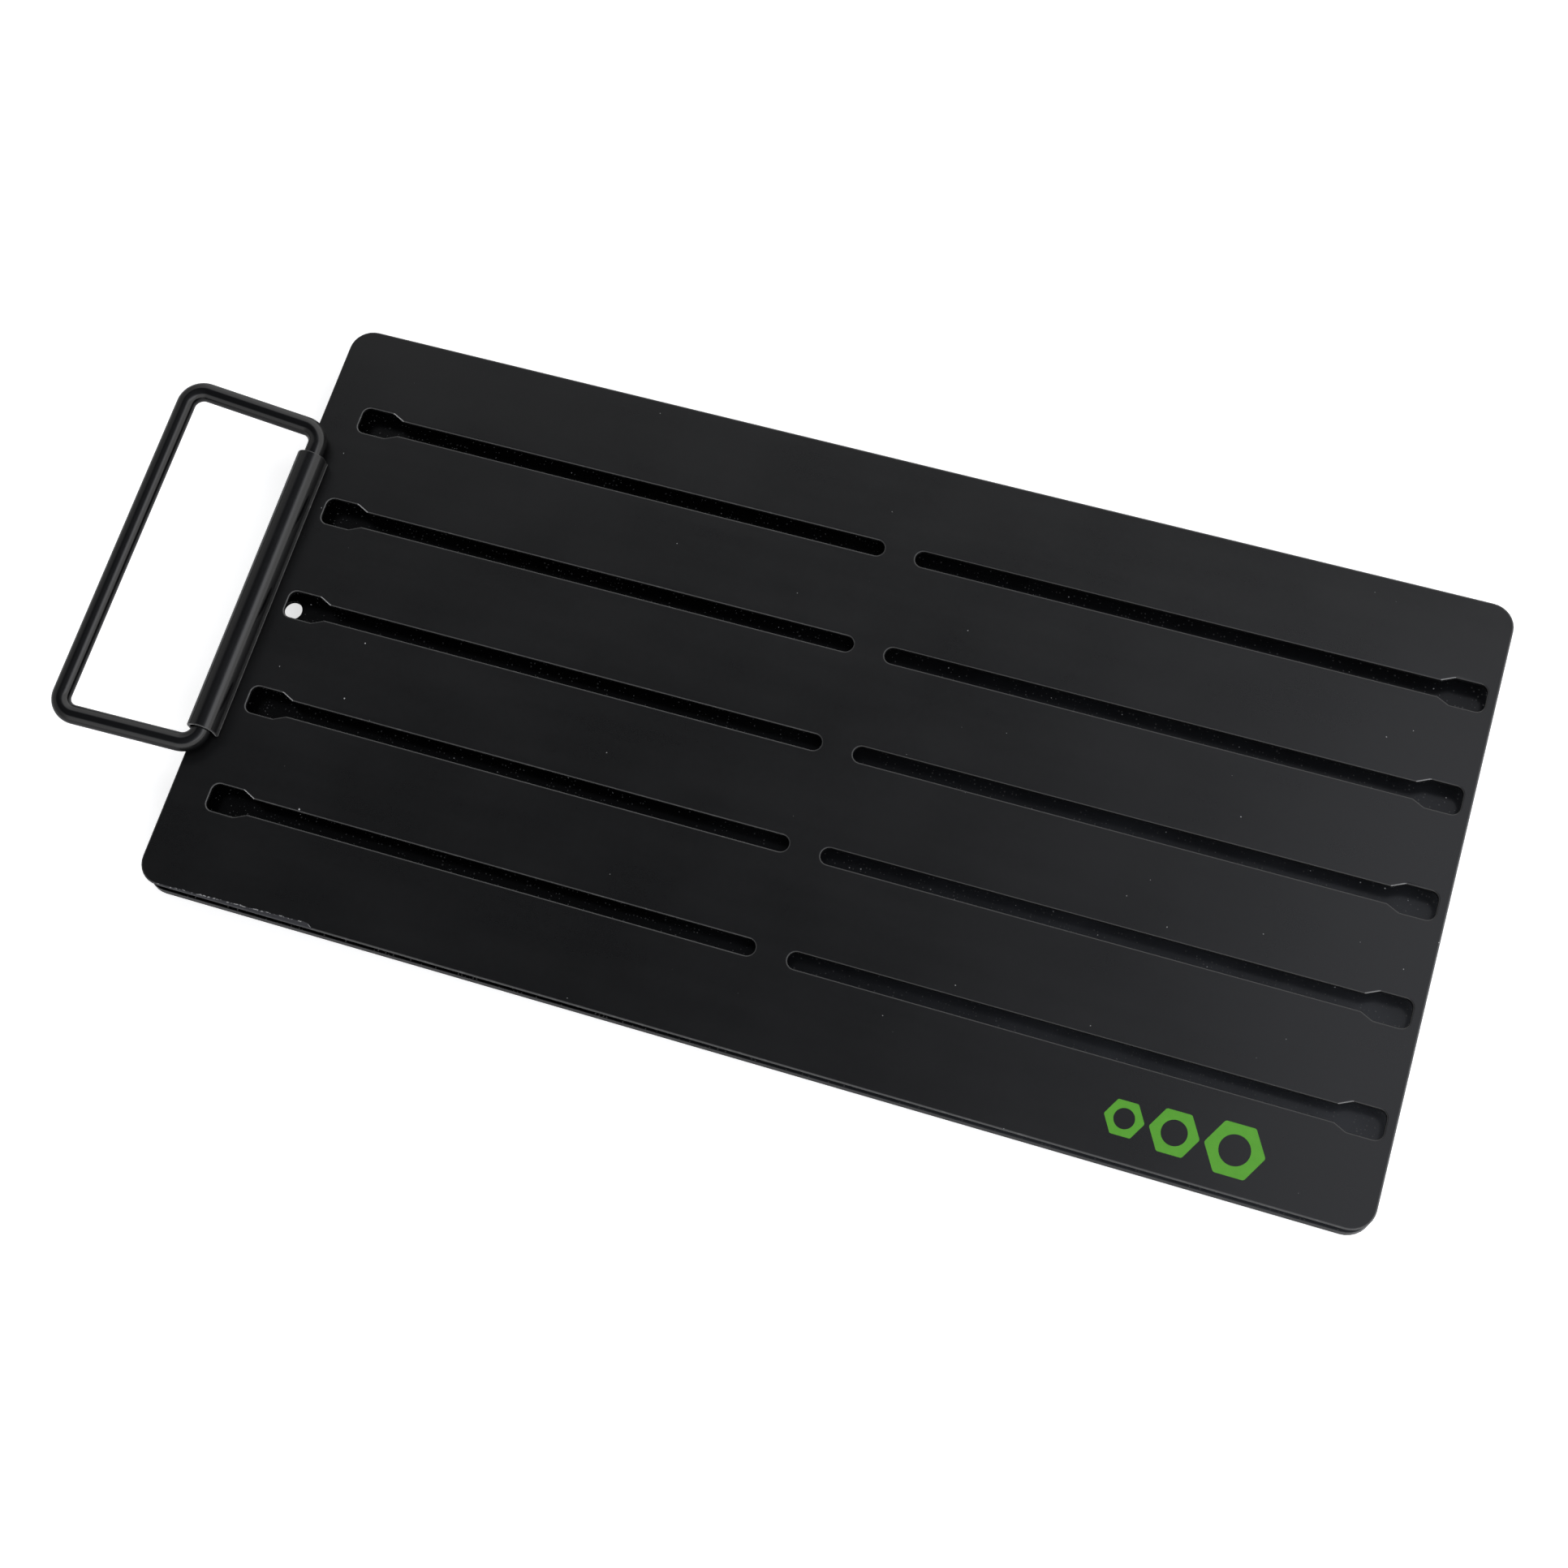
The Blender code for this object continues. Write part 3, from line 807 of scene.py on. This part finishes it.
class Nodes:
    """A node tree, with a short call for each kind of node that the looks and the light use."""

    def __init__(self, tree, coordinate):
        self.tree = tree
        self.place = tree.nodes.new("ShaderNodeTexCoord").outputs[coordinate]

    def node(self, kind, inputs, **settings):
        made = self.tree.nodes.new("ShaderNode" + kind)
        for name, value in settings.items():
            setattr(made, name, value)
        for key, value in inputs.items():
            self.set(made.inputs[key], value)
        return made

    def set(self, socket, value):
        if isinstance(value, bpy.types.NodeSocket):
            self.tree.links.new(value, socket)
        else:
            socket.default_value = value

    def scaled(self, stretch):
        return self.node("Mapping", {"Vector": self.place, "Scale": stretch}).outputs["Vector"]

    def noise(self, scale, detail=2.0, roughness=0.5, stretch=None):
        place = self.scaled(stretch) if stretch else self.place
        inputs = {"Vector": place, "Scale": scale, "Detail": detail, "Roughness": roughness}
        return self.node("TexNoise", inputs).outputs["Fac"]

    def ramp(self, value, low, high, start=0.0, end=1.0):
        inputs = {
            "Value": value,
            "From Min": low,
            "From Max": high,
            "To Min": start,
            "To Max": end,
        }
        return self.node("MapRange", inputs, interpolation_type="SMOOTHSTEP").outputs["Result"]

    def maths(self, operation, first, second=0.0):
        return self.node("Math", {0: first, 1: second}, operation=operation).outputs[0]

    def mix(self, factor, first, second):
        made = self.node("Mix", {"Factor": factor}, data_type="RGBA")
        for value, socket in zip((first, second), [s for s in made.inputs if s.type == "RGBA"]):
            self.set(socket, value)
        return next(socket for socket in made.outputs if socket.type == "RGBA")

    def axes(self):
        made = self.node("SeparateXYZ", {"Vector": self.place})
        return made.outputs["X"], made.outputs["Y"], made.outputs["Z"]

    def edge(self):
        return self.node("Attribute", {}, attribute_name="edge").outputs["Fac"]

    def facing_up(self):
        """1 on faces that point up, and 0 on upright ones."""
        normal = self.node("NewGeometry", {}).outputs["Normal"]
        height = self.node("SeparateXYZ", {"Vector": normal}).outputs["Z"]
        return self.ramp(height, *DUST_FACING)

    def specks(self, scale, chance, radius):
        """Small round grains. chance is the share of cells that hold one."""
        inputs = {"Vector": self.place, "Scale": scale}
        cells = self.node("TexVoronoi", inputs, voronoi_dimensions="2D")
        picked = self.node("SeparateColor", {"Color": cells.outputs["Color"]})
        size = self.maths("MULTIPLY", picked.outputs["Green"], radius * scale)
        near = self.maths("LESS_THAN", cells.outputs["Distance"], size)
        held = self.maths("LESS_THAN", picked.outputs["Red"], chance)
        return self.maths("MULTIPLY", near, held)


class Shading(Nodes):
    """One material, with its shader's inputs set by name."""

    def __init__(self, name):
        self.material = bpy.data.materials.new(name)
        self.material.use_nodes = True
        super().__init__(self.material.node_tree, "Object")
        self.shader = self.tree.nodes["Principled BSDF"]

    def surface(self, **values):
        for name, value in values.items():
            self.set(self.shader.inputs[name.replace("_", " ").title()], value)

    def bump(self, height, distance):
        made = self.node("Bump", {"Height": height, "Distance": distance})
        self.set(self.shader.inputs["Normal"], made.outputs["Normal"])


def grey(value, blue=1.0):
    return (value, value, value * blue, 1.0)


def coated_steel(
    name, colour, roughness, peel_height, dust=(), scuffed=False, shine=0.5, lit_haze=0.0
):
    """Satin black coating: mottled, with fine orange peel, edges pale from wear and painted
    highlight, and dust on upward faces.

    dust holds the layers of grains, and the haze value is the most share of the tone that a pale
    film takes: dust in patches, laid lighter towards the right end and the front rows as painted
    light where the lamps reach the channel floor.
    """
    shading = Shading(name)
    broad = shading.maths("MULTIPLY", shading.noise(BROAD_MOTTLE[0], 3), BROAD_MOTTLE[1])
    fine = shading.maths("MULTIPLY", shading.noise(FINE_MOTTLE[0], 2), FINE_MOTTLE[1])
    mottle = shading.maths("ADD", broad, fine)
    streaks = shading.noise(STREAKS[0], 2, stretch=STREAK_STRETCH)
    streaks = shading.maths("MULTIPLY", streaks, STREAKS[1])
    darkest = grey(colour * TONE_SPREAD[0], 1.05)
    lightest = grey(colour * TONE_SPREAD[1], 1.1)
    tone = shading.mix(shading.ramp(mottle, *MIDDLE_NOISE), darkest, lightest)
    edge = shading.edge()
    chipped = shading.ramp(shading.noise(CHIP_SCALE, 4, 0.7), *CHIP_RANGE)
    bare = shading.maths("MULTIPLY", shading.ramp(edge, *CHIP_WEAR), chipped)
    bare = shading.maths("MULTIPLY", bare, CHIP_STRENGTH)
    # Pale tone along the roundings: partly worn coating, partly a painted highlight where the
    # roundings catch the light
    tone = shading.mix(edge, tone, grey(EDGE_WEAR_AND_HIGHLIGHT_TONE))
    tone = shading.mix(bare, tone, grey(CHIPPED_TONE))
    # Above 1, a paler tone: a painted highlight at the slot tapers, and a painted highlight with
    # rubbed coating at the bracket's cut ends
    tone = shading.mix(shading.ramp(edge, 1.0, FULL_RUB_AND_HIGHLIGHT), tone, grey(RUB_AND_HIGHLIGHT_TONE))
    smoothest, roughest = (roughness + amount for amount in GLOSS_SPREAD)
    uneven = shading.maths("ADD", mottle, streaks)
    gloss = shading.ramp(uneven, *GLOSS_NOISE, smoothest, roughest)
    worn = shading.maths("MINIMUM", edge, 1.0)
    polished = shading.maths("MULTIPLY", worn, roughness * POLISH)
    gloss = shading.maths("SUBTRACT", gloss, polished)
    if scuffed:
        film, fringe = torn_film(shading)
        tone = shading.mix(film, tone, grey(FILM_TONE, 1.15))
        tone = shading.mix(fringe, tone, grey(FRINGE_TONE))
        gloss = shading.maths("ADD", gloss, shading.maths("MULTIPLY", film, FILM_DULLNESS))
    upward = shading.facing_up()
    # Pale film on the channel floor, stronger towards the right end and the front rows: dust, and
    # painted light where the lamps reach through the slots
    if lit_haze:
        x, y, _ = shading.axes()
        along = shading.ramp(x, *LIT_HAZE_ALONG, 0.0, lit_haze)
        haze_and_light = shading.maths("MULTIPLY", along, shading.ramp(y, *LIT_HAZE_ACROSS))
        patches = shading.ramp(shading.noise(HAZE_SCALE, 4), *HAZE_UNEVEN)
        haze_and_light = shading.maths("MULTIPLY", haze_and_light, patches)
        haze_and_light = shading.maths("MULTIPLY", haze_and_light, upward)
        tone = shading.mix(haze_and_light, tone, HAZE_TONE)
    for scale, chance, radius, dust_tone in dust:
        grains = shading.maths("MULTIPLY", shading.specks(scale, chance, radius), upward)
        tone = shading.mix(grains, tone, grey(dust_tone))
    shading.surface(base_color=tone, roughness=gloss)
    shading.shader.inputs["Specular IOR Level"].default_value = shine
    shading.bump(shading.noise(PEEL_SCALE, 2), peel_height)
    return shading.material


def torn_film(shading):
    """Masks of the torn film along the front rim near the left corner, and of its pale fringe."""
    x, y, _ = shading.axes()
    start = DECK_LOW.x + FILM_START
    end = DECK_LOW.x + FILM_END
    ragged = shading.maths("SUBTRACT", shading.noise(FILM_SCALE, 4, 0.6), 0.5)
    limit = shading.ramp(x, start, end, *FILM_DEPTHS)
    limit = shading.maths("ADD", limit, shading.maths("MULTIPLY", ragged, FILM_RAGGED))
    depth = shading.maths("SUBTRACT", y, DECK_LOW.y)
    inside = shading.maths("SUBTRACT", limit, depth)
    slanted = shading.maths("ADD", x, shading.maths("MULTIPLY", depth, FILM_SLANT))
    left_of_end = shading.maths("SUBTRACT", end, slanted)
    inside = shading.maths("MINIMUM", inside, left_of_end)
    right_of_start = shading.ramp(x, start, start + FILM_FADE)
    film = shading.maths("MULTIPLY", shading.ramp(inside, 0, FRINGE_WIDTH / 2), right_of_start)
    near_limit = shading.ramp(inside, FRINGE_WIDTH, 0)
    broken = shading.ramp(shading.noise(FRINGE_SCALE, 2), *FRINGE_BREAKS)
    fringe = shading.maths("MULTIPLY", shading.maths("MULTIPLY", film, near_limit), broken)
    return film, fringe


def grained(name, tones, tone_scale, roughness, roughness_scale, bump, cover=None, metallic=0.0):
    """A material whose tone and roughness wander between two values, with a fine bump.

    bump is (scale, detail, height). cover takes the shading, and gives a mask and the tone there.
    """
    shading = Shading(name)
    tone = shading.mix(shading.noise(tone_scale, 3), *tones)
    if cover:
        mask, cover_tone = cover(shading)
        tone = shading.mix(mask, tone, cover_tone)
    gloss = shading.ramp(shading.noise(roughness_scale, 2), *MIDDLE_NOISE, *roughness)
    shading.surface(base_color=tone, roughness=gloss, metallic=metallic)
    bump_scale, detail, height = bump
    shading.bump(shading.noise(bump_scale, detail), height)
    return shading.material


def rubbed_plating(shading):
    wear = shading.ramp(shading.edge(), *CHIP_WEAR)
    return shading.maths("MULTIPLY", wear, 0.5), grey(0.62)


def rubber_dust(shading):
    dusty = shading.ramp(shading.noise(120, 4), 0.5, 0.8)
    return shading.maths("MULTIPLY", dusty, 0.35), grey(0.09)


def moulded_plastic():
    return grained(
        "spacer_plastic",
        tones=(grey(0.010), grey(0.020)),
        tone_scale=90,
        roughness=(0.48, 0.62),
        roughness_scale=300,
        bump=(1400, 2, 0.00004),
    )


def plated_steel():
    return grained(
        "screw_steel",
        tones=(grey(0.28), grey(0.46, 1.03)),
        tone_scale=500,
        roughness=(0.25, 0.42),
        roughness_scale=900,
        bump=(2500, 2, 0.00001),
        cover=rubbed_plating,
        metallic=1.0,
    )


def foot_rubber():
    return grained(
        "foot_rubber",
        tones=(grey(0.014), grey(0.030)),
        tone_scale=350,
        roughness=(0.7, 0.9),
        roughness_scale=700,
        bump=(1800, 3, 0.00006),
        cover=rubber_dust,
    )


def green_ink():
    return grained(
        "green_ink",
        tones=((0.075, 0.33, 0.012, 1), (0.10, 0.38, 0.02, 1)),
        tone_scale=500,
        roughness=(0.38, 0.5),
        roughness_scale=900,
        bump=(2200, 2, 0.00001),
    )


# ---------------------------------------------------------------- studio


def floor_material():
    """Pale paper that glows for the camera alone: it stays white without lighting the tray."""
    shading = Shading("studio_floor")
    tone = shading.mix(shading.noise(3, 2), grey(FLOOR_TONE), grey(FLOOR_TONE * 1.04))
    seen = shading.node("LightPath", {}).outputs["Is Camera Ray"]
    glow = shading.maths("MULTIPLY", seen, FLOOR_GLOW)
    shading.surface(base_color=tone, roughness=0.9)
    shading.shader.inputs["Emission Color"].default_value = grey(1)
    shading.set(shading.shader.inputs["Emission Strength"], glow)
    return shading.material


def make_floor():
    made = Mesh()
    half = FLOOR_HALF_SIZE
    made.cap(made.ring([(-half, -half, 0), (half, -half, 0), (half, half, 0), (-half, half, 0)]))
    mesh = made.finish("floor")
    mesh.materials.append(floor_material())
    floor = bpy.data.objects.new("studio_floor", mesh)
    bpy.context.scene.collection.objects.link(floor)
    floor.location.z = cad_low.z


def make_world():
    """Light tent: white walls, dimmer on the left, below a dark and slightly blue ceiling."""
    world = bpy.data.worlds.new("light_tent")
    bpy.context.scene.world = world
    world.use_nodes = True
    tent = Nodes(world.node_tree, "Generated")
    x, y, z = tent.axes()
    walls = tent.ramp(x, *WALL_FADE, WALL_LEFT, WALL_RIGHT)
    towards_back = tent.maths("MULTIPLY", tent.maths("MAXIMUM", y, 0.0), BACK_WALL_RISE)
    height = tent.ramp(tent.maths("SUBTRACT", z, towards_back), CEILING_STARTS, CEILING_FULL)
    background = world.node_tree.nodes["Background"]
    ceiling = tent.ramp(x, *CEILING_FADE, CEILING_LEFT, CEILING_RIGHT)
    tent.set(background.inputs["Strength"], tent.ramp(height, 0, 1, walls, ceiling))
    tent.set(background.inputs["Color"], tent.mix(height, grey(1), CEILING_TINT))


def make_softboxes():
    """Two soft lights side by side above the right half of the tray, pointing down."""
    for name, (left, right, radiance) in SOFTBOXES.items():
        light = bpy.data.lights.new(name, "AREA")
        light.shape = "RECTANGLE"
        light.size = right - left
        light.size_y = SOFTBOX_DEPTH
        light.energy = radiance * math.pi * light.size * light.size_y
        light.color = SOFTBOX_TINT
        softbox = bpy.data.objects.new(name, light)
        bpy.context.scene.collection.objects.link(softbox)
        softbox.location = ((left + right) / 2, SOFTBOX_MIDDLE, SOFTBOX_HEIGHT)
        softbox.visible_camera = False


def make_camera():
    origin = Vector((DECK_LOW.x, 0, DECK_TOP))
    camera = bpy.data.objects.new("camera", bpy.data.cameras.new("camera"))
    bpy.context.scene.collection.objects.link(camera)
    forward = (CAMERA_TARGET - CAMERA_PLACE).normalized()
    level_right = forward.cross(Vector((0, 0, 1))).normalized()
    level_up = level_right.cross(forward)
    right = level_right * math.cos(CAMERA_ROLL) + level_up * math.sin(CAMERA_ROLL)
    up = right.cross(forward)
    turn = Matrix((right, up, -forward)).transposed().to_4x4()
    camera.matrix_world = Matrix.Translation(origin + CAMERA_PLACE) @ turn
    camera.data.lens = CAMERA_LENS
    bpy.context.scene.camera = camera


def main():
    deck = coated_steel(
        "deck_paint",
        colour=0.0028,
        roughness=0.29,
        peel_height=0.000007,
        dust=DECK_DUST,
        scuffed=True,
    )
    base = coated_steel(
        "base_paint",
        colour=0.0016,
        roughness=0.20,
        peel_height=0.00001,
        dust=CHANNEL_DUST,
        shine=0.25,
        lit_haze=0.26,
    )
    bracket = coated_steel("bracket_paint", colour=0.0028, roughness=0.17, peel_height=0.000006)
    wire = coated_steel("handle_paint", colour=0.0025, roughness=0.16, peel_height=0.000005)
    make_pans(deck, base)
    make_spacers(moulded_plastic())
    make_bracket(bracket)
    make_handle(wire)
    make_screws(plated_steel())
    make_feet(foot_rubber())
    make_mark(green_ink())
    make_floor()
    make_world()
    make_softboxes()
    make_camera()
    bpy.context.scene.view_settings.view_transform = "Standard"


main()
